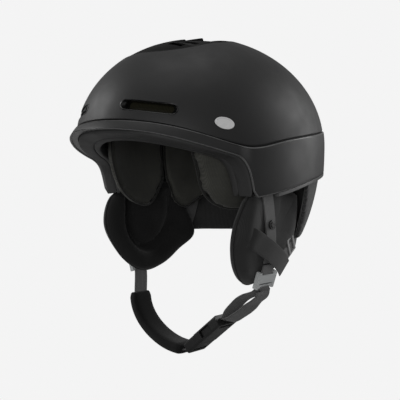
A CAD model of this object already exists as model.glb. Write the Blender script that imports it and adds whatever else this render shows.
import math

import bmesh
import bpy
import numpy as np
from mathutils import Matrix, Vector


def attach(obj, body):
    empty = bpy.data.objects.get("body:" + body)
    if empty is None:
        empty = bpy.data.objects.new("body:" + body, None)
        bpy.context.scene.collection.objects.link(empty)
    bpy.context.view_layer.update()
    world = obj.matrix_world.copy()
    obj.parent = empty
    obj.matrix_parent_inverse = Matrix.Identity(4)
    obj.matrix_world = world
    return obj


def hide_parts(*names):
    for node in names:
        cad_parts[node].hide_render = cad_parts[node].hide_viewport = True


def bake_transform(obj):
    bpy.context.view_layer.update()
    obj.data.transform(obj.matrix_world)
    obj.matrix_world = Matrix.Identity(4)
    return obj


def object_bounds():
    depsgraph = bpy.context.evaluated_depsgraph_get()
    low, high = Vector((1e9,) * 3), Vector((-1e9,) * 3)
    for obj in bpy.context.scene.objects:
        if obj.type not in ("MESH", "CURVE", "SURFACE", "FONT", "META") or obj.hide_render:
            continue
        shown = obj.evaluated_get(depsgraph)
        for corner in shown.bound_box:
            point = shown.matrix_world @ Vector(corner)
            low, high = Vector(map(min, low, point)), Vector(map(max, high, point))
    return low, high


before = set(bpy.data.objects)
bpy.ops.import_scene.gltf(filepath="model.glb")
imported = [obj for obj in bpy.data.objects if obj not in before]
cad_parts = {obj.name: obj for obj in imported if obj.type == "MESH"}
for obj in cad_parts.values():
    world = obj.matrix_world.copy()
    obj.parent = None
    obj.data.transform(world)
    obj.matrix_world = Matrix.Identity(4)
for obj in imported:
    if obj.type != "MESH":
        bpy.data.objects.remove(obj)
CAD_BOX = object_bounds()

MM = 0.001
# The wearer's left and right: sign of x and ending of the names.
SIDES = ((1, "left"), (-1, "right"))

# The dome, in millimetres: half width, half length, and the heights above and below its equator.
EQUATOR_Z = 50.0
DOME = (109.0, 137.0, 105.4, 233.0)
SHELL_WALL = 2.0
LOWER_PROUD = 1.0
SEAM_GAP = 1.1
FLARE = (110.5, 149.5, 66.0)
FLARE_Z = 40.0
FLARE_BACK_Y = -57.0

# Side-view lines (y, z): the seam between the shells, the brim and the lower rim.
SEAM = [(-150, 68.5), (-134, 65.9), (-105, 57.9), (-81, 49.5), (-51.6, 43.6), (-20, 49.1),
        (8.4, 54), (67, 62), (110, 68), (152, 72)]
BRIM = [(-150, 60.0), (-136, 57.3), (-105.6, 47.8), (-87, 42.1), (-72.5, 38), (-62.8, 34.6),
        (-56, 28.5), (-51.7, 20), (-47.5, 6)]
RIM = [(-43, 0.8), (-17, 5.4), (35.5, 16.3), (66, 21.2), (100, 26), (152, 32)]
CROWN_CLEARANCE = 1.003
CROWN_HOLE = [(0, -88), (24, -83.5), (40, -67), (45.5, -40), (43, -10), (30, 5), (0, 9)]

# Vent slots in the upper shell: centre, long direction and outward direction.
VENT_SLOTS = [((45.5, -119.4, 76.6), (0.866, 0.484, -0.125), (0.488, -0.873, 0)),
              ((42, 112, 98), (-0.87, 0.49, 0.05), (0.49, 0.87, 0))]
VENT_LENGTH = 51.0
VENT_HEIGHT = 9.5

# Middle surface of the ear pads.
EAR_Y = -25.0
EAR = (86.0, 102.0, 141.0)


# ---------------------------------------------------------------- small helpers
def spline(points, count, closed=False):
    """Even samples of the cubic curve through the points."""
    p = np.asarray(points, float)
    if closed:
        p = np.vstack([p, p[:1]])
    step = np.linalg.norm(np.diff(p, axis=0), axis=1)
    t = np.concatenate([[0.0], np.cumsum(step)])
    n = len(p)
    a = np.zeros((n, n))
    b = np.zeros((n, p.shape[1]))
    for i in range(1, n - 1):
        a[i, i - 1:i + 2] = step[i - 1], 2 * (step[i - 1] + step[i]), step[i]
        b[i] = 6 * ((p[i + 1] - p[i]) / step[i] - (p[i] - p[i - 1]) / step[i - 1])
    a[0, 0] = a[-1, -1] = 1.0
    if closed:
        a[0] = 0
        a[0, 0], a[0, 1] = 2 * (step[0] + step[-1]), step[0]
        a[0, -2] = step[-1]
        b[0] = 6 * ((p[1] - p[0]) / step[0] - (p[0] - p[-2]) / step[-1])
        a[-1, 0], a[-1, -1] = 1.0, -1.0
    m = np.linalg.solve(a, b)
    where = np.linspace(0, t[-1], count + 1 if closed else count)
    if closed:
        where = where[:-1]
    k = np.clip(np.searchsorted(t, where, side="right") - 1, 0, n - 2)
    h = step[k][:, None]
    u = (t[k + 1] - where)[:, None]
    v = (where - t[k])[:, None]
    return (m[k] * u ** 3 + m[k + 1] * v ** 3) / (6 * h) + (p[k] / h - m[k] * h / 6) * u \
        + (p[k + 1] / h - m[k + 1] * h / 6) * v


SEAM_LINE = spline(SEAM, 400)
EDGE_LINE = np.vstack([spline(BRIM, 300), spline(RIM, 300)])
BRIM_SAMPLES = spline(BRIM, 300)


def seam_z(y):
    return np.interp(y, SEAM_LINE[:, 0], SEAM_LINE[:, 1])


def edge_z(y):
    return np.interp(y, EDGE_LINE[:, 0], EDGE_LINE[:, 1])


def radius(semi, centre_z, turn, z, grow=0.0):
    """Distance from the upright axis to an ellipsoid, at a turn about it and a height."""
    half_width, half_length, rise = semi[0] + grow, semi[1] + grow, semi[2] + grow
    drop = semi[-1] + grow
    tall = np.where(z > centre_z, rise, drop)
    level = np.sqrt(np.clip(1 - ((z - centre_z) / tall) ** 2, 0.0, 1))
    return level / np.sqrt((np.cos(turn) / half_width) ** 2 + (np.sin(turn) / half_length) ** 2)


def new_object(name, verts, faces, material, body="helmet", angle=40, uv=None):
    mesh = bpy.data.meshes.new(name)
    mesh.from_pydata([tuple(v) for v in np.asarray(verts) * MM], [], faces)
    obj = bpy.data.objects.new(name, mesh)
    bpy.context.scene.collection.objects.link(obj)
    if uv is not None:
        layer = mesh.uv_layers.new(name="weave")
        for loop in mesh.loops:
            layer.data[loop.index].uv = uv[loop.vertex_index]
    finish_mesh(obj, angle)
    dress(obj, material)
    if body:
        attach(obj, body)
    return obj


def finish_mesh(obj, angle=40):
    """Outward normals, smooth faces and sharp edges above the angle."""
    bm = bmesh.new()
    bm.from_mesh(obj.data)
    bmesh.ops.recalc_face_normals(bm, faces=bm.faces)
    limit = math.radians(angle)
    for face in bm.faces:
        face.smooth = True
    for edge in bm.edges:
        edge.smooth = len(edge.link_faces) == 2 and edge.calc_face_angle(0.0) < limit
    bm.to_mesh(obj.data)
    bm.free()


def dress(obj, material):
    obj.data.materials.clear()
    obj.data.materials.append(material)


def unit(vectors):
    """The vectors, or the one vector, at length 1."""
    vectors = np.asarray(vectors, float)
    return vectors / np.linalg.norm(vectors, axis=-1, keepdims=True)


def shrink(loop, middle, scale):
    return middle + (loop - middle) * scale


def stand_for(node):
    """The piece takes a CAD node's place and one of the record's material slots."""
    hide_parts(node)


def thicken(obj, material, thickness, offset=0.0, angle=None):
    """Gives a sheet its thickness in millimetres and fixes it to the helmet."""
    modify(obj, "SOLIDIFY", thickness=thickness * MM, offset=offset)
    if angle is not None:
        finish_mesh(obj, angle)
    dress(obj, material)
    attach(obj, "helmet")


def grid_faces(rows, columns):
    """Quads of a grid that is open on all four sides."""
    starts = [i * columns + j for i in range(rows - 1) for j in range(columns - 1)]
    return [(a, a + 1, a + columns + 1, a + columns) for a in starts]


def ring_faces(rows, columns, wrap_rows=True):
    """Quads of a grid that closes on itself along its columns, and along its rows too if asked."""
    faces = []
    for i in range(rows if wrap_rows else rows - 1):
        here, above = i * columns, (i + 1) % rows * columns
        for j in range(columns):
            beside = (j + 1) % columns
            faces.append((here + j, here + beside, above + beside, above + j))
    return faces


def modify(obj, kind, **settings):
    """Adds a modifier, sets it and applies it."""
    mod = obj.modifiers.new(kind, kind)
    for key, value in settings.items():
        setattr(mod, key, value)
    graph = bpy.context.evaluated_depsgraph_get()
    mesh = bpy.data.meshes.new_from_object(obj.evaluated_get(graph))
    obj.modifiers.clear()
    old = obj.data
    obj.data = mesh
    bpy.data.meshes.remove(old)


# ---------------------------------------------------------------- materials
class Nodes:
    """Short hand for building a node tree."""

    def __init__(self, name):
        self.material = bpy.data.materials.new(name)
        self.material.use_nodes = True
        self.tree = self.material.node_tree
        self.shader = self.tree.nodes["Principled BSDF"]
        coords = self.tree.nodes.new("ShaderNodeTexCoord")
        self.place = coords.outputs["Object"]
        self.uv = coords.outputs["UV"]
        self.height = None

    def add(self, kind, inputs=(), **settings):
        node = self.tree.nodes.new("ShaderNode" + kind)
        for key, value in settings.items():
            setattr(node, key, value)
        for key, value in dict(inputs).items():
            self.put(node, key, value)
        return node

    def put(self, node, key, value):
        socket = node.inputs[key]
        if hasattr(value, "is_output"):
            self.tree.links.new(value, socket)
        else:
            socket.default_value = value

    def math(self, operation, a, b=0.0, c=0.0):
        node = self.add("Math", {0: a, 1: b, 2: c}, operation=operation)
        return node.outputs[0]

    def noise(self, scale, detail=2.0, rough=0.5, place=None):
        node = self.add("TexNoise", {"Vector": place or self.place, "Scale": scale,
                                     "Detail": detail, "Roughness": rough})
        return node.outputs["Fac"]

    def ramp(self, value, low, high, to_low=0.0, to_high=1.0):
        node = self.add("MapRange", {0: value, 1: low, 2: high, 3: to_low, 4: to_high})
        return node.outputs[0]

    def blend(self, fac, a, b):
        node = self.add("Mix", data_type="RGBA")
        self.put(node, 0, fac)
        self.put(node, 6, a)
        self.put(node, 7, b)
        return node.outputs[2]

    def colour(self, value):
        self.put(self.shader, "Base Color", value)

    def relief(self, value, distance, strength=1.0, rounded=0.0):
        """Adds a bump on top of the ones before it."""
        bump = self.add("Bump", {"Height": value, "Distance": distance, "Strength": strength})
        if self.height is not None:
            self.put(bump, "Normal", self.height)
        elif rounded:
            edge = self.add("Bevel", {"Radius": rounded}, samples=4)
            self.put(bump, "Normal", edge.outputs[0])
        self.height = bump.outputs[0]
        self.put(self.shader, "Normal", self.height)


def grey(value, tint=(1.0, 1.0, 1.0)):
    return (value * tint[0], value * tint[1], value * tint[2], 1.0)


def plastic(name, value, rough, grain=900.0, grain_depth=0.00003, tint=(1, 1, 1), variation=0.12,
            rounded=0.0005, coat=0.0, specular=0.5):
    """Moulded or lacquered plastic with a fine grain, slight blotches and worn, rounder edges."""
    n = Nodes(name)
    cloud = n.noise(18.0, 4.0)
    low = grey(value * (1 - variation), tint)
    high = grey(value * (1 + variation), tint)
    n.colour(n.blend(n.ramp(cloud, 0.35, 0.65), low, high))
    fine = n.noise(grain, 2.0)
    n.put(n.shader, "Roughness", n.ramp(n.noise(60.0, 3.0), 0.3, 0.7, rough - 0.04, rough + 0.05))
    n.put(n.shader, "Specular IOR Level", specular)
    n.put(n.shader, "Coat Weight", coat)
    n.put(n.shader, "Coat Roughness", 0.12)
    n.relief(fine, grain_depth, 0.6, rounded)
    return n.material


def foam_material(name, value):
    """Expanded beads, each a slightly different grey with a groove round it."""
    n = Nodes(name)
    cells = n.add("TexVoronoi", {"Vector": n.place, "Scale": 330.0}, feature="F1")
    edge = n.add("TexVoronoi", {"Vector": n.place, "Scale": 330.0}, feature="DISTANCE_TO_EDGE")
    n.colour(n.blend(cells.outputs["Color"], grey(value * 0.8), grey(value * 1.25)))
    n.put(n.shader, "Roughness", 0.62)
    n.put(n.shader, "Specular IOR Level", 0.35)
    n.relief(n.ramp(edge.outputs["Distance"], 0.0, 0.12), 0.00025, 0.7)
    return n.material


def waves(n, axis, period, offset=None):
    """A sine along one direction of the object, from 0 to 1."""
    parts = n.add("SeparateXYZ", {0: n.place}).outputs
    value = parts[axis]
    if offset is not None:
        value = n.math("ADD", value, offset)
    turn = n.math("MULTIPLY", value, 2 * math.pi / period)
    return n.math("MULTIPLY_ADD", n.math("SINE", turn), 0.5, 0.5)


def knit(name, value, period=0.0011, tint=(1, 1, 1), depth=0.00012, sheen=0.25, fluff=0.15):
    """Fine knitted or brushed cloth: crossing ribs, fuzz and gentle colour variation."""
    n = Nodes(name)
    wobble = n.math("MULTIPLY", n.noise(140.0, 2.0), 0.0012)
    up = waves(n, 2, period, wobble)
    along = waves(n, 1, period * 1.15, wobble)
    weave = n.math("MULTIPLY", up, along)
    cloud = n.noise(35.0, 4.0)
    mottle = n.math("ADD", n.math("MULTIPLY", weave, 0.6), n.math("MULTIPLY", cloud, 0.8))
    n.colour(n.blend(n.ramp(mottle, 0.2, 1.0), grey(value * 0.6, tint), grey(value * 1.5, tint)))
    n.put(n.shader, "Roughness", 0.85)
    n.put(n.shader, "Specular IOR Level", 0.2)
    n.put(n.shader, "Sheen Weight", sheen)
    n.put(n.shader, "Sheen Roughness", 0.5)
    n.relief(weave, depth, 0.8)
    n.relief(n.noise(900.0, 2.0), depth * 2, fluff)
    n.relief(n.noise(45.0, 3.0), 0.0012, 0.18)
    return n.material


def ribbed_knit(name, value):
    """Stretch cloth with upright ribs that run round the nape."""
    n = Nodes(name)
    parts = n.add("SeparateXYZ", {0: n.place}).outputs
    turn = n.math("ARCTAN2", parts[1], parts[0])
    swing = n.math("MULTIPLY", n.noise(60.0, 2.0), 0.02)
    rib = n.math("SINE", n.math("MULTIPLY", n.math("ADD", turn, swing), 420.0))
    rib = n.math("MULTIPLY_ADD", rib, 0.5, 0.5)
    stitch = waves(n, 2, 0.0012)
    both = n.math("MULTIPLY_ADD", stitch, 0.25, n.math("MULTIPLY", rib, 0.75))
    n.colour(n.blend(n.ramp(both, 0.05, 0.95), grey(value * 0.45), grey(value * 1.45)))
    n.put(n.shader, "Roughness", 0.8)
    n.put(n.shader, "Specular IOR Level", 0.25)
    n.put(n.shader, "Sheen Weight", 0.35)
    n.relief(both, 0.0003, 0.9)
    n.relief(n.noise(40.0, 3.0), 0.0012, 0.2)
    return n.material


def webbing_material(name, value, ribs=9.0, depth=0.00025, pitch=0.0011):
    """Woven strap: ribs along it, a diagonal pick between them and a tight selvedge.
    The mesh's uv holds the place across it (0 to 1) and the length along it in metres."""
    n = Nodes(name)
    parts = n.add("SeparateXYZ", {0: n.uv}).outputs
    across = n.math("SINE", n.math("MULTIPLY", parts[0], 2 * math.pi * ribs))
    across = n.math("MULTIPLY_ADD", across, 0.5, 0.5)
    slant = n.math("ADD", parts[1], n.math("MULTIPLY", across, pitch * 0.6))
    pick = n.math("SINE", n.math("MULTIPLY", slant, 2 * math.pi / pitch))
    pick = n.math("MULTIPLY_ADD", pick, 0.5, 0.5)
    weave = n.math("MULTIPLY_ADD", pick, 0.4, n.math("MULTIPLY", across, 0.6))
    n.colour(n.blend(n.ramp(weave, 0.1, 0.9), grey(value * 0.5), grey(value * 1.35)))
    n.put(n.shader, "Roughness", 0.62)
    n.put(n.shader, "Specular IOR Level", 0.4)
    n.put(n.shader, "Sheen Weight", 0.2)
    n.relief(weave, depth, 0.9)
    return n.material


def steel_material(name):
    n = Nodes(name)
    n.colour(n.blend(n.noise(300.0, 3.0), grey(0.45), grey(0.62)))
    n.put(n.shader, "Metallic", 1.0)
    n.put(n.shader, "Roughness", n.ramp(n.noise(500.0), 0.3, 0.7, 0.25, 0.4))
    n.relief(n.noise(1500.0), 0.00001, 0.5, 0.0003)
    return n.material


def make_materials():
    return {
        "shell": plastic("shell_matte", 0.011, 0.50, 1600.0, 0.00002, (1, 1, 1.02), 0.06),
        "lower": plastic("lower_shell_matte", 0.013, 0.46, 1600.0, 0.00002, (1, 1, 1.02), 0.06),
        "bead": plastic("rim_bead", 0.11, 0.30, 1200.0, 0.00002),
        "gloss": plastic("vent_gloss", 0.006, 0.12, 900.0, 0.000005, coat=0.3),
        "foam": foam_material("foam", 0.016),
        "trim": plastic("trim_soft", 0.032, 0.5, 1300.0, 0.00003, specular=0.35),
        "liner": knit("liner_fabric", 0.06, tint=(1.0, 1.0, 0.88), sheen=0.12),
        "ear": knit("ear_fabric", 0.024, 0.0009, depth=0.0001, sheen=0.2),
        "fleece": knit("ear_fleece", 0.010, 0.0016, fluff=0.5, sheen=0.3),
        "piping": knit("piping_cloth", 0.016, 0.0008, tint=(1, 1, 0.9), sheen=0.2),
        "neck": ribbed_knit("neck_fabric", 0.042),
        "webbing": webbing_material("webbing", 0.115),
        "keeper": webbing_material("keeper_fabric", 0.010, 26.0, 0.00008, 0.0006),
        "chin": knit("chin_fleece", 0.0065, 0.0010, depth=0.00006, sheen=0.15),
        "divider": plastic("divider_grey", 0.52, 0.38, 900.0, 0.00001, (0.97, 1.0, 1.0), 0.03),
        "buckle": plastic("buckle_black", 0.018, 0.30, 1500.0, 0.00002),
        "dial": plastic("dial_black", 0.014, 0.5, 700.0, 0.00005),
        "nylon": plastic("nylon_black", 0.012, 0.45, 1100.0, 0.00003),
        "steel": steel_material("steel"),
        "badge": plastic("badge_grey", 0.75, 0.3, 900.0, 0.00001, variation=0.03),
        "edge": plastic("worn_edge", 0.13, 0.26, 1600.0, 0.00001, variation=0.2),
        "stud": plastic("snap_dark", 0.018, 0.28, 700.0, 0.00003),
        "fitting": plastic("fitting_grey", 0.36, 0.4, 900.0, 0.00002),
        "satin": plastic("crown_satin", 0.002, 0.5, 900.0, 0.00001, specular=0.08),
        "screen": knit("vent_screen", 0.012, 0.0012, tint=(1.0, 0.9, 0.25), depth=0.0002),
        "ring": knit("ear_ring_cloth", 0.012, 0.0010, depth=0.00008, sheen=0.15),
    }


# ---------------------------------------------------------------- shells
def dome_point(turn, tilt, inset):
    """Point of the dome at a turn (radians round the axis) and a tilt above its equator."""
    half_width, half_length, rise, drop = (v - inset for v in DOME)
    tall = np.where(tilt > 0, rise, drop)
    return np.stack([half_width * np.cos(turn) * np.cos(tilt),
                     half_length * np.sin(turn) * np.cos(tilt),
                     EQUATOR_Z + tall * np.sin(tilt)], axis=-1)


def lip(wall, round_r):
    """Cross-section of an edge: (distance from the edge, inset), outside to inside."""
    section = []
    for centre, start in ((round_r, 90), (wall - round_r, 180)):
        for k in range(5):
            a = math.radians(start + k * 22.5)
            section.append((round_r + round_r * math.cos(a), centre - round_r * math.sin(a)))
    return section


def seam_tilt(turn, lift):
    tilt = np.zeros_like(turn)
    for _ in range(60):
        y = DOME[1] * np.sin(turn) * np.cos(tilt)
        z = seam_z(y) + lift
        tall = np.where(z > EQUATOR_Z, DOME[2], DOME[3])
        tilt = 0.5 * tilt + 0.5 * np.arcsin((z - EQUATOR_Z) / tall)
    return tilt


def crown_tilt(turn):
    """Tilt at which each meridian meets the crown vent's outline."""
    loop = crown_hole(720) * CROWN_CLEARANCE
    angle = np.unwrap(np.arctan2(loop[:, 1] / DOME[1], loop[:, 0] / DOME[0]))
    reach = np.hypot(loop[:, 0] / DOME[0], loop[:, 1] / DOME[1])
    order = np.argsort(np.mod(angle, 2 * np.pi))
    reach_at = np.interp(np.mod(turn, 2 * np.pi), np.mod(angle, 2 * np.pi)[order], reach[order],
                         period=2 * np.pi)
    return np.arccos(np.clip(reach_at, 0, 1))


SHELL_COLUMNS = 480
OUTSIDE_ROWS = 90
INSIDE_ROWS = 60


def upper_shell(materials):
    """Closed skin from the seam to the crown hole, with the vent slots cut out of it."""
    turn = np.linspace(0, 2 * np.pi, SHELL_COLUMNS, endpoint=False)
    low = seam_tilt(turn, SEAM_GAP)
    high = crown_tilt(turn)
    reach = np.hypot(DOME[0] * np.cos(turn), DOME[1] * np.sin(turn))
    low_speed = np.hypot(reach * np.sin(low), DOME[2] * np.cos(low))
    high_speed = np.hypot(reach * np.sin(high), DOME[2] * np.cos(high))
    edge = lip(SHELL_WALL, 0.9)
    rows = []
    for s, d in reversed(edge):
        rows.append((low + s / low_speed, d))
    for k in range(1, OUTSIDE_ROWS):
        rows.append((low + (high - low) * k / OUTSIDE_ROWS, 0.0))
    for s, d in edge:
        rows.append((high - s / high_speed, d))
    for k in range(1, INSIDE_ROWS):
        rows.append((high - (high - low) * k / INSIDE_ROWS, SHELL_WALL))
    verts = np.concatenate([dome_point(turn, tilt, inset) for tilt, inset in rows])
    shell = new_object("shell_upper", verts, ring_faces(len(rows), SHELL_COLUMNS),
                       materials["shell"], None)
    for side in (1, -1):
        for place in VENT_SLOTS:
            cut = slot_cutter(place, side)
            modify(shell, "BOOLEAN", object=cut, operation="DIFFERENCE", solver="EXACT")
            bpy.data.objects.remove(cut)
    finish_mesh(shell, 32)
    dress(shell, materials["shell"])
    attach(shell, "helmet")
    stand_for("upper_shell")


def slot_points(place, length, height, count):
    """Outline of a slot with round ends, in the plane of its centre."""
    centre, along, out = place
    along = unit(along)
    across = np.cross(unit(out), along)
    a = 2 * np.pi * (np.arange(count) + 0.5) / count
    r = height / 2
    u = r * np.cos(a) + np.copysign(length / 2 - r, np.cos(a))
    v = r * np.sin(a)
    return np.array(centre) + u[:, None] * along + v[:, None] * across


def slot_cutter(place, side):
    """Prism that cuts a vent slot through the shell."""
    ring = slot_points(place, VENT_LENGTH, VENT_HEIGHT, 48)
    reach = unit(place[2]) * 25
    verts = np.concatenate([ring - reach, ring + reach])
    verts[:, 0] *= side
    n = len(ring)
    faces = [tuple(range(n)), tuple(range(2 * n - 1, n - 1, -1))]
    faces += [(k, (k + 1) % n, n + (k + 1) % n, n + k) for k in range(n)]
    mesh = bpy.data.meshes.new("cutter")
    mesh.from_pydata([tuple(v) for v in verts * MM], [], faces)
    obj = bpy.data.objects.new("cutter", mesh)
    bpy.context.scene.collection.objects.link(obj)
    finish_mesh(obj)
    return obj


def lower_outside(turn, z, grow=0.0):
    """Radius of the lower shell: the dome, with the brim's flare blended in at the front."""
    dome = radius(DOME, EQUATOR_Z, turn, z, LOWER_PROUD + grow)
    flare = radius(FLARE, FLARE_Z, turn, z, grow)
    y = dome * np.sin(turn)
    blend = np.clip((FLARE_BACK_Y + 6 - y) / 14, 0, 1)
    extra = np.clip(flare - dome, 0, None) * blend * blend * (3 - 2 * blend)
    return dome + extra


def level_where(line, turn):
    """Height at which the lower shell's outside crosses a side-view line."""
    z = np.full_like(turn, 45.0)
    for _ in range(80):
        y = lower_outside(turn, z) * np.sin(turn)
        z = 0.6 * z + 0.4 * line(y)
    return z


def band_turns():
    """Turns round the axis, closer together where the rim climbs at the temples."""
    coarse = np.radians(np.arange(0, 360, 0.75))
    fine = np.concatenate([np.radians(np.arange(-40, -14, 0.12)) + 2 * np.pi,
                           np.pi + np.radians(np.arange(14, 40, 0.12))])
    return np.unique(np.round(np.concatenate([coarse, fine]), 6))


BAND_STEPS = 16
RIGHT_THROUGH = 99.0


def lower_point(turn, z, depth):
    """Points at a depth below the lower shell's outside, no deeper than its wall."""
    out = lower_outside(turn, z)
    inner = radius(DOME, EQUATOR_Z, turn, z, -SHELL_WALL)
    r = out - np.minimum(depth, np.clip(out - inner, 0.5, None))
    return np.stack([r * np.cos(turn), r * np.sin(turn), z], axis=-1)


def lower_shell(materials):
    """Closed band from the lower rim to the seam, with rounded lips that are worn lighter."""
    turn = band_turns()
    low = level_where(edge_z, turn)
    high = level_where(seam_z, turn)
    edge = lip(2.2, 1.0)
    rows = [lower_point(turn, low + s, d) for s, d in reversed(edge)]
    rows += [lower_point(turn, low + (high - low) * k / BAND_STEPS, 0.0)
             for k in range(1, BAND_STEPS)]
    rows += [lower_point(turn, high - s, d) for s, d in edge]
    rows += [lower_point(turn, high - (high - low) * k / BAND_STEPS, RIGHT_THROUGH)
             for k in range(BAND_STEPS + 1)]
    columns = len(turn)
    shell = new_object("shell_lower", np.concatenate(rows), ring_faces(len(rows), columns),
                       materials["lower"], angle=50)
    shell.data.materials.append(materials["edge"])
    lip_rows = len(edge) - 1
    top_lip = len(edge) + BAND_STEPS - 1
    for polygon in shell.data.polygons:
        row = min(polygon.vertices) // columns
        worn = row < lip_rows or top_lip <= row < top_lip + lip_rows
        polygon.material_index = 1 if worn else 0
    stand_for("lower_shell")


def brim_offset(lift):
    """Line parallel to the brim's underside, moved up and back into the foam by lift."""
    line = BRIM_SAMPLES + np.array([-0.2, -0.7])
    step = unit(np.gradient(line, axis=0))
    line = line + np.stack([-step[:, 1], step[:, 0]], axis=1) * lift
    end = line[-1] + step[-1] * 6
    line = np.vstack([line, end])
    keep = np.concatenate([[True], np.diff(np.maximum.accumulate(line[:, 0])) > 0])
    return line[keep]


def trim_level(turn, inset, lift):
    line = brim_offset(lift)
    z = np.full_like(turn, 40.0)
    for _ in range(100):
        y = radius(DOME, EQUATOR_Z, turn, z, -inset) * np.sin(turn)
        z = 0.7 * z + 0.3 * np.interp(y, line[:, 0], line[:, 1])
    return z


TRIM_BACK_Y = -46.5
TRIM_FOOT_Z = -1.5
# Cross-section of the trim: how far it lies inside the dome, and above the brim's line.
TRIM_PROFILE = [(2.5, 9.0), (2.5, 1.4), (2.8, 0.6), (3.4, 0.1), (4.6, 0.0), (7.0, 0.0),
                (10.0, 0.1), (13.0, 0.1), (16.0, 0.2), (16.6, 0.5), (16.9, 1.1), (17.3, 1.1),
                (17.6, 0.5), (18.3, 0.2), (20.0, 0.2), (21.6, 0.2), (22.6, 0.4), (23.3, 1.0),
                (23.7, 2.0), (23.8, 9.0)]


def brim_trim(materials):
    """Soft trim of the face opening: an outer lip, a groove, the face and an inner bead."""
    turn = np.concatenate([np.arange(-168, -150, 0.1), np.arange(-150, -30, 0.5),
                           np.arange(-30, -12, 0.1)])
    sample = np.radians(turn)
    rows = []
    for inset, lift in TRIM_PROFILE:
        z = trim_level(sample, inset, lift)
        r = radius(DOME, EQUATOR_Z, sample, z, -inset)
        y = r * np.sin(sample)
        inside = np.where(y < TRIM_BACK_Y)[0]
        where = np.linspace(inside[0], inside[-1], 420)
        t = np.interp(where, np.arange(len(sample)), sample)
        z = np.interp(where, np.arange(len(sample)), z)
        r = radius(DOME, EQUATOR_Z, t, z, -inset)
        rows.append(np.stack([r * np.cos(t), r * np.sin(t), np.maximum(z, TRIM_FOOT_Z)], axis=-1))
    n = rows[0].shape[0]
    verts = np.concatenate(rows)
    count = len(rows)
    faces = grid_faces(count, n)
    last = (count - 1) * n
    faces += [(last + j, last + j + 1, j + 1, j) for j in range(n - 1)]
    faces.append(tuple(i * n for i in range(count)))
    faces.append(tuple(i * n + n - 1 for i in reversed(range(count))))
    trim = new_object("face_trim", verts, faces, materials["trim"], angle=35)
    stand_for("brim_trim")


# ---------------------------------------------------------------- vents
def smooth_step(value):
    value = np.clip(value, 0.0, 1.0)
    return value * value * (3 - 2 * value)


def crown_hole(count):
    """The crown vent's whole outline, from its left half."""
    other = [(-x, y) for x, y in reversed(CROWN_HOLE[1:-1])]
    return spline(CROWN_HOLE + other, count, closed=True)


def outline_distance(points, loop):
    """Distance from each point to a closed line, and whether the point is inside it."""
    a = loop
    b = np.roll(loop, -1, axis=0)
    ab = b - a
    best = np.full(len(points), 1e9)
    inside = np.zeros(len(points), bool)
    for p0, p1, d in zip(a, b, ab):
        t = np.clip(((points - p0) @ d) / max(d @ d, 1e-9), 0, 1)
        gap = points - (p0 + t[:, None] * d)
        best = np.minimum(best, np.hypot(gap[:, 0], gap[:, 1]))
        crosses = (p0[1] > points[:, 1]) != (p1[1] > points[:, 1])
        level = p0[0] + (points[:, 1] - p0[1]) * d[0] / (d[1] if d[1] else 1e-9)
        inside ^= crosses & (points[:, 0] < level)
    return best, inside


def dome_top(x, y, inset):
    a, b, c = DOME[0] - inset, DOME[1] - inset, DOME[2] - inset
    return EQUATOR_Z + c * np.sqrt(np.clip(1 - (x / a) ** 2 - (y / b) ** 2, 0, 1))


CROWN_WINDOWS = (-64.0, -46.0, -28.0)
WINDOW_X = 24.0
WINDOW_HALF = (8.5, 3.6)
INSERT_WALL = 1.6
FIN_STEP_Y = -36.0


def crown_insert(materials):
    """Dished panel in the crown with six windows and a raised fin that ends in a step."""
    loop = crown_hole(400)
    half = loop[loop[:, 0] >= -1e-6]
    half = half[np.argsort(half[:, 1])]
    ys = np.unique(np.concatenate([np.linspace(-87.6, 8.6, 150),
                                   [FIN_STEP_Y - 0.25, FIN_STEP_Y + 0.25]]))
    across = np.linspace(-1, 1, 97)
    wide = np.interp(ys, half[:, 1], half[:, 0]) - 0.25
    x = across[None, :] * np.clip(wide, 0.05, None)[:, None]
    y = np.repeat(ys[:, None], len(across), axis=1)
    flat = np.stack([x.ravel(), y.ravel()], axis=1)
    gap, _ = outline_distance(flat, loop)
    gap = gap.reshape(x.shape)
    floor = 0.5 + 2.9 * smooth_step((gap - 0.8) / 7)
    front = smooth_step((y + 62) / 12)
    floor = 0.7 * (1 - front) * smooth_step(gap / 3) + 0.35 + (floor - 0.35) * front
    floor = 0.35 + (floor - 0.35) * smooth_step((5 - y) / 4)
    fin_width = 7 + 19 * smooth_step((-44 - y) / 34)
    side = 1 - smooth_step((np.abs(x) - fin_width) / 3.0)
    top = 0.9 + 0.6 * np.clip((y + 80) / 47, 0, 1)
    fin = np.where(y < FIN_STEP_Y, side, 0.0) * smooth_step(gap / 3)
    inset = floor * (1 - fin) + np.minimum(top, floor) * fin
    z = dome_top(x, y, 0) - inset
    verts = np.stack([x.ravel(), y.ravel(), z.ravel()], axis=1)
    middle_x = np.abs(x[:-1, :-1] + x[1:, 1:]) / 2
    middle_y = (y[:-1, :-1] + y[1:, 1:]) / 2
    window = np.zeros(middle_x.shape, bool)
    for place in CROWN_WINDOWS:
        window |= ((np.abs(middle_x - WINDOW_X) < WINDOW_HALF[0])
                   & (np.abs(middle_y - place) < WINDOW_HALF[1]))
    faces = [face for face, cut in zip(grid_faces(*x.shape), window.ravel()) if not cut]
    insert = new_object("crown_insert", verts, faces, materials["satin"], None, 40)
    thicken(insert, materials["satin"], INSERT_WALL, -1.0, 40)
    stand_for("crown_vent_frame")


THUMB_Y = (-34.0, -11.5)
THUMB_FOOT = 2.8
GRIP_GROOVES = (-23.0, -19.5, -16.0)


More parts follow.
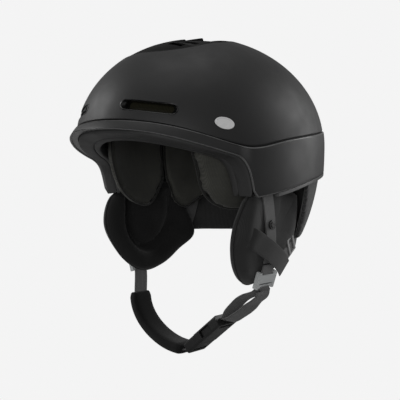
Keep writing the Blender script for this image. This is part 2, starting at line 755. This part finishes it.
def crown_thumb(materials):
    """Second fin, the thumb piece that moves the shutter, with three grip grooves."""
    ys = np.linspace(*THUMB_Y, 93)
    across = np.linspace(-1, 1, 41)
    y = np.repeat(ys[:, None], len(across), axis=1)
    rise = (y - THUMB_Y[0]) / (THUMB_Y[1] - THUMB_Y[0])
    wide = 6.5 + 2.0 * rise
    x = across[None, :] * wide
    inset = 2.5 - 2.8 * np.clip(rise, 0, 1) ** 1.3
    edge = np.clip((1 - np.abs(across[None, :])) * wide / 2.2, 0, 1)
    inset = inset + (2.7 - inset) * (1 - np.sqrt(1 - (1 - edge) ** 2))
    groove = sum(np.exp(-((y - g) / 0.55) ** 2) for g in GRIP_GROOVES)
    inset = inset + 0.45 * groove * (np.abs(across[None, :]) < 0.75)
    surface = dome_top(x, y, 0)
    top = np.stack([x, y, surface - inset], axis=-1).reshape(-1, 3)
    under = np.stack([x, y, surface - THUMB_FOOT], axis=-1).reshape(-1, 3)
    columns, lines = len(across), len(ys)
    count = columns * lines
    faces = grid_faces(lines, columns)
    faces += [tuple(count + k for k in reversed(face)) for face in faces]
    border = list(range(columns))
    border += [i * columns + columns - 1 for i in range(1, lines)]
    border += [(lines - 1) * columns + j for j in range(columns - 2, -1, -1)]
    border += [i * columns for i in range(lines - 2, 0, -1)]
    for k, a in enumerate(border):
        b = border[(k + 1) % len(border)]
        faces.append((a, b, count + b, count + a))
    thumb = new_object("crown_thumb", np.vstack([top, under]), faces, materials["satin"],
                       "vent_slide", 45)
    stand_for("vent_slider")


# Rings of the vent bezel: how much the slot's length and height shrink, and the depth.
BEZEL = [(0.5, 0.5, 1.8), (0.4, 0.4, -0.1), (0.7, 0.7, -0.35), (1.3, 1.1, -0.3), (1.7, 1.4, 0.1),
         (7.0, 2.0, 2.6), (8.0, 2.4, 3.2), (10.5, 3.0, 11.0)]


def vent_bezel(name, place, side, materials, node):
    """Gloss funnel in a vent slot, with a cloth screen at its bottom."""
    count = 96
    out = unit(place[2])
    rows = []
    for shorter, lower, depth in BEZEL:
        points = slot_points(place, VENT_LENGTH - shorter, VENT_HEIGHT - lower, count)
        rows.append(surface_below(points, out, depth) * (side, 1, 1))
    faces = ring_faces(len(rows), count, wrap_rows=False)
    bezel = new_object(name, np.concatenate(rows), faces, materials["gloss"], None, 60)
    thicken(bezel, materials["gloss"], 0.5, angle=60)
    stand_for(node)
    bottom = rows[-1] + (rows[-2] - rows[-1]) * 0.15
    middle = bottom.mean(axis=0)
    rings = [shrink(bottom, middle, k) for k in (1.02, 0.75, 0.5, 0.25)]
    faces = ring_faces(len(rings), count, wrap_rows=False)
    faces.append(tuple(range((len(rings) - 1) * count, len(rings) * count)))
    screen = new_object(name + "_screen", np.concatenate(rings), faces, materials["screen"],
                        None, 60)
    thicken(screen, materials["screen"], 0.4)
    stand_for(node)


def surface_below(points, out, depth):
    """Points moved along out until they lie at a depth below the dome's surface."""
    semi = np.array(DOME[:3]) - depth
    o = (points - (0, 0, EQUATOR_Z)) / semi
    d = out / semi
    a = d @ d
    b = 2 * o @ d
    c = (o * o).sum(axis=1) - 1
    t = (-b + np.sqrt(np.clip(b * b - 4 * a * c, 0, None))) / (2 * a)
    return points + t[:, None] * out


BADGE_CENTRE = (-74.5, 63.2)
BADGE_HALF = (7.6, 5.0)
BADGE_LEAN = math.radians(-12)
# Rings of the badge: share of its outline, and height above the shell.
BADGE_RINGS = [(1.0, 0.0), (1.0, 0.45), (0.97, 0.6), (0.86, 0.6), (0.83, 0.35), (0.5, 0.35),
               (0.12, 0.35)]


def badge_plate(materials):
    """Plain oval plate with a raised edge on the wearer's left."""
    count = 64
    a = 2 * np.pi * np.arange(count) / count
    rows = []
    for scale, height in BADGE_RINGS:
        u = BADGE_HALF[0] * scale * np.cos(a)
        v = BADGE_HALF[1] * scale * np.sin(a)
        y = BADGE_CENTRE[0] + u * math.cos(BADGE_LEAN) - v * math.sin(BADGE_LEAN)
        z = BADGE_CENTRE[1] + u * math.sin(BADGE_LEAN) + v * math.cos(BADGE_LEAN)
        x = (DOME[0] + height) * np.sqrt(1 - (y / (DOME[1] + height)) ** 2
                                         - ((z - EQUATOR_Z) / (DOME[2] + height)) ** 2)
        rows.append(np.stack([x, y, z], axis=1))
    faces = ring_faces(len(rows), count, wrap_rows=False)
    faces.append(tuple(range((len(rows) - 1) * count, len(rows) * count)))
    faces.append(tuple(range(count - 1, -1, -1)))
    plate = new_object("oval_plate", np.concatenate(rows), faces, materials["badge"], angle=35)
    stand_for("badge")


def vents_and_badge(materials):
    for side, suffix in SIDES:
        for where, place in zip(("front", "rear"), VENT_SLOTS):
            vent_bezel(f"{where}_bezel_{suffix}", place, side, materials,
                       f"{where}_vent_{suffix}")
    crown_insert(materials)
    crown_thumb(materials)
    badge_plate(materials)


# ---------------------------------------------------------------- straps
def ribbon(name, path, outs, width, thick, material, body="helmet", count=90, section=None):
    """Flat webbing along a smooth path; outs are the directions that its face looks in."""
    line = spline(path, count)
    where = np.linspace(0, 1, len(outs))
    look = np.stack([np.interp(np.linspace(0, 1, count), where, part) for part in zip(*outs)],
                    axis=1)
    along = unit(np.gradient(line, axis=0))
    across = unit(np.cross(along, look))
    face = np.cross(across, along)
    length = np.concatenate([[0], np.cumsum(np.linalg.norm(np.diff(line, axis=0), axis=1))])
    if section is None:
        section = flat_section(width, thick)
    verts, uv = [], []
    for i in range(count):
        for u, v in section(i / (count - 1)) if callable(section) else section:
            verts.append(line[i] + across[i] * u + face[i] * v)
            uv.append((u / width + 0.5, length[i] * MM))
    n = len(verts) // count
    faces = ring_faces(count, n, wrap_rows=False)
    faces += [tuple(range(n - 1, -1, -1)), tuple(range((count - 1) * n, count * n))]
    return new_object(name, verts, faces, material, body, 60, uv)


def flat_section(width, thick):
    """Webbing's cross-section with rounded selvedges."""
    r = thick / 2
    reach = width / 2 - r
    points = []
    for side in (1, -1):
        for k in range(9):
            a = math.radians(-90 + k * 22.5)
            points.append((side * (reach + r * math.cos(a)), side * r * math.sin(a)))
        points += [(side * u, side * r) for u in np.linspace(reach, -reach, 8)[1:-1]]
    return points


def flip(points, side):
    return [(side * x, y, z) for x, y, z in points]


def ear_x(y, z, offset):
    across = ((y - EAR_Y) / (EAR[1] + offset)) ** 2
    down = (z / (EAR[2] + offset)) ** 2
    return (EAR[0] + offset) * math.sqrt(max(1 - across - down, 0.0))


def ear_path(points, offset):
    return [(ear_x(y, z, offset), y, z) for y, z in points]


WEB_WIDTH = 17.0
WEB_THICK = 1.5
# Routes of the straps: (y, z) on the ear pad for the front strap and the keeper, else in space.
FRONT_STRAP = [(-24, 6.0), (-20.5, -10), (-17, -24), (-13.5, -36), (-11, -48), (-10.5, -59.5)]
REAR_STRAP = [(71, 72, 16.5), (73.4, 62, -5), (73.6, 55, -24), (76.0, 48.5, -38),
              (79.4, 40.0, -46.5), (82.6, 22, -56), (85.8, 6, -63)]
KEEPER = [(-53, -30.5), (-45, -34.5), (-36, -39), (-22, -46), (-8, -53), (8, -61), (21, -68)]
LEFT_WEB = [(89.9, -12.5, -61), (88.2, -12.5, -66), (84.1, -12.5, -78), (79.6, -13.3, -84.8),
            (72.5, -14, -89.2), (60, -14.5, -96), (52.7, -15, -103), (46.8, -15, -110),
            (43.5, -15, -115.6), (40.4, -15, -117.2)]
TAIL_WEB = [(80.5, -13.3, -83.5), (84.0, -13.5, -86.6), (83.6, -13.6, -89.3), (80, -14, -93),
            (72.5, -14.5, -99.3), (64.8, -15, -106), (55, -15, -112.6), (46.2, -15, -117.4),
            (40.8, -15, -118.2)]
RIGHT_WEB = [(-89.9, -12.5, -61), (-88.2, -12.5, -66), (-84.1, -12.5, -78), (-81.3, -14.0, -90),
             (-79.0, -16.5, -102), (-78.0, -17.5, -112)]
CHIN_LINE = [(-78.2, -18, -104.6), (-75.8, -18, -117.3), (-68.6, -17.5, -130.3),
             (-57, -17, -140.6), (-41.4, -16.5, -148.7), (-25, -16, -153), (-9, -15.5, -154.0)]
TONGUE_LINE = [(-15, -15.7, -153.9), (-9, -15.5, -154.0), (-4, -15.3, -152.9), (1, -15.1, -150.2)]


def straps(materials):
    web = materials["webbing"]
    for side, suffix in SIDES:
        front = ribbon("front_webbing_" + suffix, flip(ear_path(FRONT_STRAP, 10.3), side),
                       [(side, 0, 0)] * 2, 15, 1.4, web)
        stand_for("front_strap_" + suffix)
        rear = ribbon("rear_webbing_" + suffix, flip(REAR_STRAP, side), [(side, 0.3, 0)] * 2,
                      13, 1.3, web, count=120)
        stand_for("rear_strap_" + suffix)
        band_line = ear_path(KEEPER[:1], 8.5) + ear_path(KEEPER[1:], 16.0)
        keeper = ribbon("keeper_band_" + suffix, flip(band_line, side),
                        [(side, 0, -0.25)] * 2, 18, 1.2, materials["keeper"], count=70)
        stand_for("strap_keeper_" + suffix)
    looks = [(1, 0, -0.4)] * 4 + [(0.6, -0.22, -0.8)] * 5
    left = ribbon("chin_webbing_left", LEFT_WEB, looks, WEB_WIDTH, WEB_THICK, web, count=120)
    stand_for("chin_strap_left")
    looks = [(0.7, -0.1, -0.7)] * 3 + [(0.6, -0.3, -0.8)] * 5
    tail = ribbon("chin_webbing_tail", TAIL_WEB, looks, WEB_WIDTH, WEB_THICK, web, count=120)
    stand_for("chin_strap_tail")


CHIN_PAD_HALF = (12.5, 6.0)


def chin_pad_section(t):
    """Cross-section of the chin pad at a share of its length; it thins at both ends."""
    swell = min(1.0, min(t, 1 - t) * 2 / 0.12) ** 0.5
    half = CHIN_PAD_HALF[0] * (0.84 + 0.16 * swell)
    thick = CHIN_PAD_HALF[1] * (0.60 + 0.40 * swell)
    points = []
    for k in range(40):
        a = 2 * math.pi * k / 40
        c, s = math.cos(a), math.sin(a)
        points.append((half * math.copysign(abs(c) ** 0.5, c),
                       thick * math.copysign(abs(s) ** 0.66, s)))
    return points


def chin_parts(materials):
    """Right webbing and chin pad, which bend when the buckle is opened."""
    right = ribbon("chin_webbing_right", RIGHT_WEB, [(-1, 0, -0.3)] * 2, WEB_WIDTH, WEB_THICK,
                   materials["webbing"], None, count=80)
    outs = [(x, 0, z + 60) for x, _, z in CHIN_LINE]
    pad = ribbon("chin_pad_soft", CHIN_LINE, outs, 2 * CHIN_PAD_HALF[0], 2 * CHIN_PAD_HALF[1],
                 materials["chin"], None, 110, chin_pad_section)
    for piece, node, slot in ((right, "chin_strap_right", "webbing"),
                              (pad, "chin_pad", "chin_fleece")):
        stand_for(node)
        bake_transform(piece)
    tongue = ribbon("chin_webbing_tongue", TONGUE_LINE, [(-0.3, 0, -1), (-0.5, 0, -0.8)],
                    WEB_WIDTH, WEB_THICK, materials["webbing"], "plug", count=24)
    stand_for("chin_pad")


# ---------------------------------------------------------------- soft pads
def copy_node(node, name):
    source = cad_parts[node]
    obj = bpy.data.objects.new(name, source.data.copy())
    bpy.context.scene.collection.objects.link(obj)
    return obj


def soften(obj, voxel, inset, rounds):
    """Voxel skin of a solid, drawn in a little and rounded off."""
    modify(obj, "REMESH", mode="VOXEL", voxel_size=voxel, use_smooth_shade=True)
    bm = bmesh.new()
    bm.from_mesh(obj.data)
    for _ in range(rounds):
        bmesh.ops.smooth_vert(bm, verts=bm.verts, factor=0.5, use_axis_x=True, use_axis_y=True,
                              use_axis_z=True)
    bm.normal_update()
    for v in bm.verts:
        v.co -= v.normal * inset
    bm.to_mesh(obj.data)
    bm.free()


CLOTH_STIFFNESS = 12


def inflate(obj, pressure, cap, frames=20):
    """Cloth simulation that swells a pad, with the movement of each point capped."""
    scene = bpy.context.scene
    rest = np.array([v.co[:] for v in obj.data.vertices])
    mod = obj.modifiers.new("Cloth", "CLOTH")
    mod.settings.use_pressure = True
    mod.settings.uniform_pressure_force = pressure
    mod.settings.quality = 4
    mod.settings.effector_weights.gravity = 0.0
    mod.settings.tension_stiffness = CLOTH_STIFFNESS
    mod.settings.compression_stiffness = CLOTH_STIFFNESS
    mod.collision_settings.use_collision = False
    mod.point_cache.frame_start = 1
    mod.point_cache.frame_end = frames
    for f in range(1, frames + 1):
        scene.frame_set(f)
    graph = bpy.context.evaluated_depsgraph_get()
    shape = obj.evaluated_get(graph)
    moved = np.array([v.co[:] for v in shape.data.vertices])
    obj.modifiers.clear()
    scene.frame_set(1)
    shift = moved - rest
    far = np.linalg.norm(shift, axis=1)
    shift *= np.minimum(1.0, cap / np.maximum(far, 1e-9))[:, None]
    for v, place in zip(obj.data.vertices, rest + shift):
        v.co = place


def smooth(obj):
    for polygon in obj.data.polygons:
        polygon.use_smooth = True


def mirror_copy(obj, name):
    other = bpy.data.objects.new(name, obj.data.copy())
    bpy.context.scene.collection.objects.link(other)
    other.data.transform(Matrix.Scale(-1, 4, (1, 0, 0)))
    other.data.flip_normals()
    return other


def soft_pad(node, name, material, slot, voxel=0.0032, inset=0.0009, cap=0.0016, rounds=3,
             fill=0.6, pair=False, shape=None):
    """Padded fabric that stands for one CAD node, or for a left and right pair of them."""
    left_node = node + "_left" if pair else node
    obj = copy_node(left_node, name + ("_left" if pair else ""))
    soften(obj, voxel, inset, rounds)
    inflate(obj, 4.0, cap)
    modify(obj, "SUBSURF", levels=1, render_levels=1)
    if shape is not None:
        shape(obj)
    pieces = [(obj, left_node)]
    if pair:
        pieces.append((mirror_copy(obj, name + "_right"), node + "_right"))
    for piece, place in pieces:
        smooth(piece)
        dress(piece, material)
        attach(piece, "helmet")
        stand_for(place)
    return [piece for piece, _ in pieces]


# In metres: half the dial housing and its height, and how far the collar closes towards it.
HOUSING_HALF = (0.025, 0.018)
HOUSING_Z = -0.008
OPENING_GAP = 0.0024
OPENING_REACH = 0.009


def widen(obj):
    """The collar's ends stand out and forwards; its opening closes up to the dial housing."""
    for vertex in obj.data.vertices:
        beside = abs(vertex.co.x) - HOUSING_HALF[0]
        above = abs(vertex.co.z - HOUSING_Z) - HOUSING_HALF[1]
        off = max(beside, above)
        if vertex.co.y > 0.07 and 0 < off < OPENING_REACH:
            pull = OPENING_GAP * float(1 - smooth_step((off - 0.002) / 0.007))
            if beside >= above - 0.001:
                vertex.co.x -= math.copysign(pull, vertex.co.x)
            if above >= beside - 0.001:
                vertex.co.z -= math.copysign(pull, vertex.co.z - HOUSING_Z)
        end = float(smooth_step((abs(vertex.co.x) - 0.03) / 0.03))
        vertex.co.x *= 1 + 0.04 * end
        vertex.co.y -= 0.006 * end


def inner_share(y, z):
    """Square of the liner's half width at a place, as a share of the widest."""
    tall = 74.0 if z > EQUATOR_Z else 106.0
    return max(1 - (y / 104.5) ** 2 - ((z - EQUATOR_Z) / tall) ** 2, 0.01)


def temple_reach(y):
    """The right temple pad's front edge stands up to 6 mm ahead of the CAD outline."""
    return y - 6.0 * float(smooth_step((-48.0 - y) / 20))


def reach_forward(obj):
    for vertex in obj.data.vertices:
        y, z = vertex.co.y / MM, vertex.co.z / MM
        ahead = temple_reach(y)
        vertex.co.x *= math.sqrt(inner_share(ahead, z) / inner_share(y, z))
        vertex.co.y = ahead * MM


def pads(materials):
    cloth = materials["liner"], "liner_fabric"
    temples = soft_pad("side_pad_front", "temple_pad", *cloth, pair=True)
    reach_forward(temples[1])
    soft_pad("side_pad_rear", "rear_side_pad", *cloth, pair=True)
    soft_pad("brow_pad", "brow_cushion", *cloth, voxel=0.0028)
    soft_pad("crown_pad", "crown_cushion", *cloth, voxel=0.0028)
    soft_pad("nape_pad", "nape_cushion", *cloth, voxel=0.003)
    soft_pad("neck_roll", "neck_collar", materials["neck"], "neck_fabric", voxel=0.0022,
             inset=0.0003, cap=0.0009, rounds=2, fill=0.5, shape=widen)
    ear_pads(materials)
    pad_piping(materials)
    nape_gusset(materials)


# Ear pads: outline of the soft rim and of the dish round the ear, in the side view.
EAR_RIM = [(-43, 1), (-50.5, -8), (-55.7, -20), (-57.3, -30), (-56.2, -40), (-52.5, -50),
           (-47, -60), (-40, -69), (-30, -76.5), (-20, -80), (-9, -79.6), (6, -74.6),
           (17, -68.8), (26, -62.7), (35, -56.4), (42, -50), (46, -42), (46.5, -30), (44, -12),
           (38, 7), (27, 13.5), (10, 12), (-20, 6), (-34, 3.6)]
EAR_DISH = [(-31, 6), (-34, -14), (-35, -30), (-33, -44), (-24, -57), (-11, -61), (3, -56),
            (20, -43), (30, -28), (34, -8), (30, 10), (0, 12)]
EAR_CENTRE = np.array([-6.0, -33.0])


def ear_middle(y, z, offset):
    """Half width of the ear pad's middle surface; it flares outwards at both ends."""
    across = ((y - EAR_Y) / (EAR[1] + offset)) ** 2
    down = (z / (EAR[2] + offset)) ** 2
    front = smooth_step((-22 - y) / 30) * (3.5 + 4.5 * smooth_step((z + 62) / 34))
    rear = 8.5 * smooth_step((y - 2) / 34) * smooth_step((8 - z) / 8)
    rear = rear * (1 - 0.35 * smooth_step((-30 - z) / 18))
    return (EAR[0] + offset) * np.sqrt(np.clip(1 - across - down, 0, 1)) + front + rear


def bulge(gap, reach):
    """Rounded rise from 0 at an edge to 1 at a reach inside it."""
    return np.sqrt(np.clip(1 - (1 - np.clip(gap / reach, 0, 1)) ** 2, 0, 1))


def ear_sheet(loop, dish, kind):
    """Rings of points from the rim to the centre, with the offset of one face of the pad."""
    rings = np.concatenate([1 - np.linspace(0, 1, 14) ** 2.0 * 0.22, np.linspace(0.76, 0.04, 26)])
    rows = []
    for scale in rings:
        flat = shrink(loop, EAR_CENTRE, scale)
        gap, _ = outline_distance(flat, loop)
        gap = np.where(scale >= 0.9999, 0.0, gap)
        y, z = flat.T
        if kind == "outer":
            puff = 8.6 * bulge(gap, 9.0)
            offset = puff - 0.9 * smooth_step((gap - 12) / 18)
        else:
            into, inside = outline_distance(flat, dish)
            into = np.where(inside, -into, into)
            fade = 1 - smooth_step((z + 30) / 24) * smooth_step((y + 6) / 24)
            ridge = 9.6 * bulge(gap, 11.0) * bulge(into, 9.0) * fade
            sunk = 2.6 * smooth_step(-into / 5) * smooth_step(gap / 12)
            offset = -ridge + sunk - 1.2 * smooth_step(gap / 6) * (1 - smooth_step(-into / 4))
        rows.append(np.stack([ear_middle(y, z, offset), y, z], axis=1))
    return rows


def closed_sheet(front, back):
    """One closed mesh from two sheets of rings that share their first ring."""
    count = len(front[0])
    rows = list(reversed(front)) + back[1:]
    faces = ring_faces(len(rows), count, wrap_rows=False)
    faces.append(tuple(range(count)))
    faces.append(tuple(range((len(rows) - 1) * count, len(rows) * count)))
    return np.concatenate(rows), faces


def plain_sheet(loop, extra):
    """Face of the pad that lies hidden against its other half."""
    rows = []
    for scale in (1.0, 0.9, 0.7, 0.45, 0.2, 0.05):
        y, z = shrink(loop, EAR_CENTRE, scale).T
        rise = extra * min((1 - scale) * 10, 1)
        rows.append(np.stack([ear_middle(y, z, 0) + rise, y, z], axis=1))
    return rows


def ear_pads(materials):
    """Outer cloth half, inner ring with the dish, and the piping at the seam between them."""
    loop = spline(EAR_RIM, 240, closed=True)
    dish = spline(EAR_DISH, 120, closed=True)
    halves = (("ear_outer", "outer", 3.0, "ear", "ear_cover", "ear_fabric", 0.0007),
              ("ear_ring", "inner", 3.6, "ring", "ear_cushion", "ear_fleece", 0.0009))
    for name, kind, extra, finish, node, slot, cap in halves:
        front = ear_sheet(loop, dish, kind)
        verts, faces = closed_sheet(front, plain_sheet(loop, extra))
        left = new_object(name + "_left", verts, faces, materials[finish], "helmet", 80)
        inflate(left, 3.0, cap, 14)
        right = mirror_copy(left, name + "_right")
        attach(right, "helmet")
        for piece, suffix in ((left, "_left"), (right, "_right")):
            smooth(piece)
            stand_for(node + suffix)
    seam = [(ear_middle(y, z, 0.0), y, z) for y, z in loop]
    for side, suffix in SIDES:
        cord = tube(f"ear_seam_{suffix}", flip(seam, side), 0.75, materials["ring"])
        stand_for("ear_cushion_" + suffix)
        port_cloth(dish, side, suffix, materials["fleece"])


def port_cloth(dish, side, suffix, material):
    """Thin cloth over the ear port at the bottom of the dish."""
    middle = dish.mean(axis=0)
    rows = []
    for scale in (0.80, 0.78, 0.6, 0.4, 0.2, 0.03):
        y, z = shrink(dish, middle, scale).T
        lift = 1.0 if scale > 0.79 else 0.45
        x = ear_middle(y, z, 0.0) + 1.0 + lift - 0.6 * (0.8 - scale)
        rows.append(np.stack([x * side, y, z], axis=1))
    faces = ring_faces(len(rows), len(dish), wrap_rows=False)
    faces.append(tuple(range((len(rows) - 1) * len(dish), len(rows) * len(dish))))
    cloth = new_object("ear_port_" + suffix, np.concatenate(rows), faces, material, None, 60)
    thicken(cloth, material, 0.5)
    stand_for("ear_mesh_" + suffix)


PIPE_SIDES = 10


def tube(name, path, r, material):
    """Round piping along a closed line of points."""
    p = np.asarray(path, float)
    along = unit(np.roll(p, -1, axis=0) - np.roll(p, 1, axis=0))
    side = unit(np.cross(along, (1.0, 0.15, 0.1)))
    up = np.cross(side, along)
    a = 2 * np.pi * np.arange(PIPE_SIDES) / PIPE_SIDES
    rings = (p[:, None] + side[:, None] * (r * np.cos(a))[:, None]
             + up[:, None] * (r * np.sin(a))[:, None])
    return new_object(name, rings.reshape(-1, 3), ring_faces(len(p), PIPE_SIDES), material,
                      "helmet", 80)


# Outlines of the side pads in the side view, and the gap in y that is left between them.
PAD_GAP = (12.6, 15.2)
PAD_FRONT = [(13.4, 56), (13.2, 19), (4, 6.5), (-10, -6.5), (-23, -11.5), (-36, -10.5),
             (-51, -5), (-62, 5), (-72, 28), (-76, 52), (-60, 72), (-10, 74)]
PAD_REAR = [(14.6, 56), (14.8, 19), (18, 2), (22.5, -12), (29, -14.7), (41, -11), (56, -3),
            (72, 8.4), (84, 26), (86, 50), (72, 72), (30, 74)]


PIPING_INSET = 1.3
PIPING_HALF_WIDTH = 76.5


def pad_piping(materials):
    """Piped edges of the side pads, on the face that looks at the head."""
    for outline, name, node in ((PAD_FRONT, "temple_piping", "side_pad_front"),
                                (PAD_REAR, "rear_piping", "side_pad_rear")):
        temple = outline is PAD_FRONT
        loop = spline(outline, 260, closed=True)
        middle = loop.mean(axis=0)
        for side, suffix in SIDES:
            path = []
            for y, z in loop:
                y = min(y, PAD_GAP[0]) if temple else max(y, PAD_GAP[1])
                toward = np.array([y, z]) - middle
                y, z = middle + toward * (1 - PIPING_INSET / np.linalg.norm(toward))
                if temple and side < 0:
                    y = temple_reach(y)
                path.append((side * PIPING_HALF_WIDTH * math.sqrt(inner_share(y, z)), y, z))
            cord = tube(f"{name}_{suffix}", path, 1.05, materials["piping"])
            stand_for(f"{node}_{suffix}")


GUSSET_LEVELS = np.linspace(16.0, -33.0, 24)
GUSSET_ACROSS = np.linspace(0, 1, 9)
GUSSET_FRONT_Y = 43.0
GUSSET_SAG = np.array([-0.3, 1.0, 0]) * 3.5
COLLAR = (104, 130.5, 60, 162.5)


def nape_gusset(materials):
    """Dark cloth between the ear pad's rear edge and the neck collar."""
    line = []
    for z in GUSSET_LEVELS:
        inner = np.array([ear_middle(GUSSET_FRONT_Y, z, 0.0) + 1.0, GUSSET_FRONT_Y, z])
        back = 33 + (18 - z) * 0.30
        turn = math.atan2(back, 100.0)
        outer_x = radius(COLLAR, EQUATOR_Z, turn, z) * math.cos(turn)
        outer = np.array([outer_x, back + 2, z])
        for t in GUSSET_ACROSS:
            line.append(inner + (outer - inner) * t + GUSSET_SAG * math.sin(math.pi * t))
    faces = grid_faces(len(GUSSET_LEVELS), len(GUSSET_ACROSS))
    for side, suffix in SIDES:
        panel = new_object("nape_gusset_" + suffix, flip(line, side), faces,
                           materials["fleece"], None, 80)
        thicken(panel, materials["fleece"], 1.2)
        stand_for("neck_roll")


# ---------------------------------------------------------------- carried-over nodes
def dress_nodes(materials):
    """Materials of the CAD nodes that keep their own shape."""
    finishes = {
        "bead": ["rim_trim"], "foam": ["foam_liner"], "fitting": ["strap_slides"],
        "stud": ["snap_studs"], "divider": ["strap_divider_left", "strap_divider_right"],
        "dial": ["fit_cover", "fit_dial"],
        "buckle": ["buckle_socket", "buckle_plug", "buckle_prong_front", "buckle_prong_back"],
        "steel": ["dial_screw", "housing_screws", "detent_spring", "goggle_clip_pin"],
        "nylon": ["vent_shutter", "strap_anchors", "fit_housing", "fit_hanger", "fit_pinion",
                  "fit_band_left", "fit_band_right", "goggle_clip_base", "goggle_clip_flap"],
    }
    for finish, nodes in finishes.items():
        for node in nodes:
            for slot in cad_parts[node].material_slots:
                slot.material = materials[finish]


# ---------------------------------------------------------------- studio
PALE = (0.905, 0.905, 0.905, 1.0)
AMBIENT = 0.28
FLOOR_GREY = (0.4, 0.4, 0.4, 1.0)
FLOOR_HALF = 30.0
LIT_POINT = Vector((0.0, 0.0, 0.03))
# Area lights that face the helmet: name, place, width, height and power in watts.
LIGHTS = [("key_left", (-1.25, -0.75, 0.75), 0.8, 0.8, 7.6),
          ("key_right", (0.8, 1.45, 0.5), 0.8, 1.2, 8.2),
          ("top", (0.1, -0.1, 1.6), 1.2, 1.2, 4.0),
          ("front", (0.75, -1.2, 0.1), 1.1, 0.5, 4.6)]


def area_light(name, place, width, height, power):
    light = bpy.data.lights.new(name, "AREA")
    light.shape = "RECTANGLE"
    light.size = width
    light.size_y = height
    light.energy = power
    obj = bpy.data.objects.new(name, light)
    obj.location = place
    facing = LIT_POINT - Vector(place)
    obj.rotation_euler = facing.to_track_quat("-Z", "Y").to_euler()
    bpy.context.scene.collection.objects.link(obj)


def seen_and_lit(tree, output, kinds):
    """Empties a node tree and joins one shader for light and another for what the camera sees."""
    tree.nodes.clear()
    out = tree.nodes.new(output)
    mix = tree.nodes.new("ShaderNodeMixShader")
    path = tree.nodes.new("ShaderNodeLightPath")
    lit, seen = (tree.nodes.new(kind) for kind in kinds)
    tree.links.new(path.outputs["Is Camera Ray"], mix.inputs[0])
    tree.links.new(lit.outputs[0], mix.inputs[1])
    tree.links.new(seen.outputs[0], mix.inputs[2])
    tree.links.new(mix.outputs[0], out.inputs[0])
    return lit, seen


def studio():
    """Pale surroundings and floor that look even to the camera but light the helmet softly."""
    scene = bpy.context.scene
    scene.view_settings.view_transform = "Standard"
    world = bpy.data.worlds.new("studio")
    scene.world = world
    world.use_nodes = True
    dim, bright = seen_and_lit(world.node_tree, "ShaderNodeOutputWorld",
                               ["ShaderNodeBackground"] * 2)
    for node, strength in ((dim, AMBIENT), (bright, 1.0)):
        node.inputs["Color"].default_value = PALE
        node.inputs["Strength"].default_value = strength

    low = min(CAD_BOX[0][2], CAD_BOX[1][2])
    corners = [(-1, -1), (1, -1), (1, 1), (-1, 1)]
    mesh = bpy.data.meshes.new("floor")
    mesh.from_pydata([(x * FLOOR_HALF, y * FLOOR_HALF, low) for x, y in corners], [],
                     [(0, 1, 2, 3)])
    floor = bpy.data.objects.new("floor", mesh)
    scene.collection.objects.link(floor)
    material = bpy.data.materials.new("floor")
    material.use_nodes = True
    matte, glow = seen_and_lit(material.node_tree, "ShaderNodeOutputMaterial",
                               ["ShaderNodeBsdfDiffuse", "ShaderNodeEmission"])
    glow.inputs["Color"].default_value = PALE
    matte.inputs["Color"].default_value = FLOOR_GREY
    mesh.materials.append(material)

    for light in LIGHTS:
        area_light(*light)


CAMERA_PLACE = Vector((0.4392, -0.4792, 0.0180))
CAMERA_FORWARD = Vector((-0.6809, 0.7315, -0.0347))
CAMERA_RIGHT = Vector((0.7320, 0.6813, 0))
LENS = 57.85
SENSOR_WIDTH = 36.0


def camera():
    """Seen from the wearer's front left, about level with the temples."""
    forward = CAMERA_FORWARD.normalized()
    right = CAMERA_RIGHT.normalized()
    up = right.cross(forward).normalized()
    data = bpy.data.cameras.new("camera")
    data.lens = LENS
    data.sensor_width = SENSOR_WIDTH
    obj = bpy.data.objects.new("camera", data)
    turn = Matrix((right, up, -forward)).transposed().to_4x4()
    obj.matrix_world = Matrix.Translation(CAMERA_PLACE) @ turn
    bpy.context.scene.collection.objects.link(obj)
    bpy.context.scene.camera = obj


# ---------------------------------------------------------------- the whole helmet
def main():
    camera()
    studio()
    materials = make_materials()
    dress_nodes(materials)
    upper_shell(materials)
    lower_shell(materials)
    brim_trim(materials)
    vents_and_badge(materials)
    straps(materials)
    chin_parts(materials)
    pads(materials)


main()
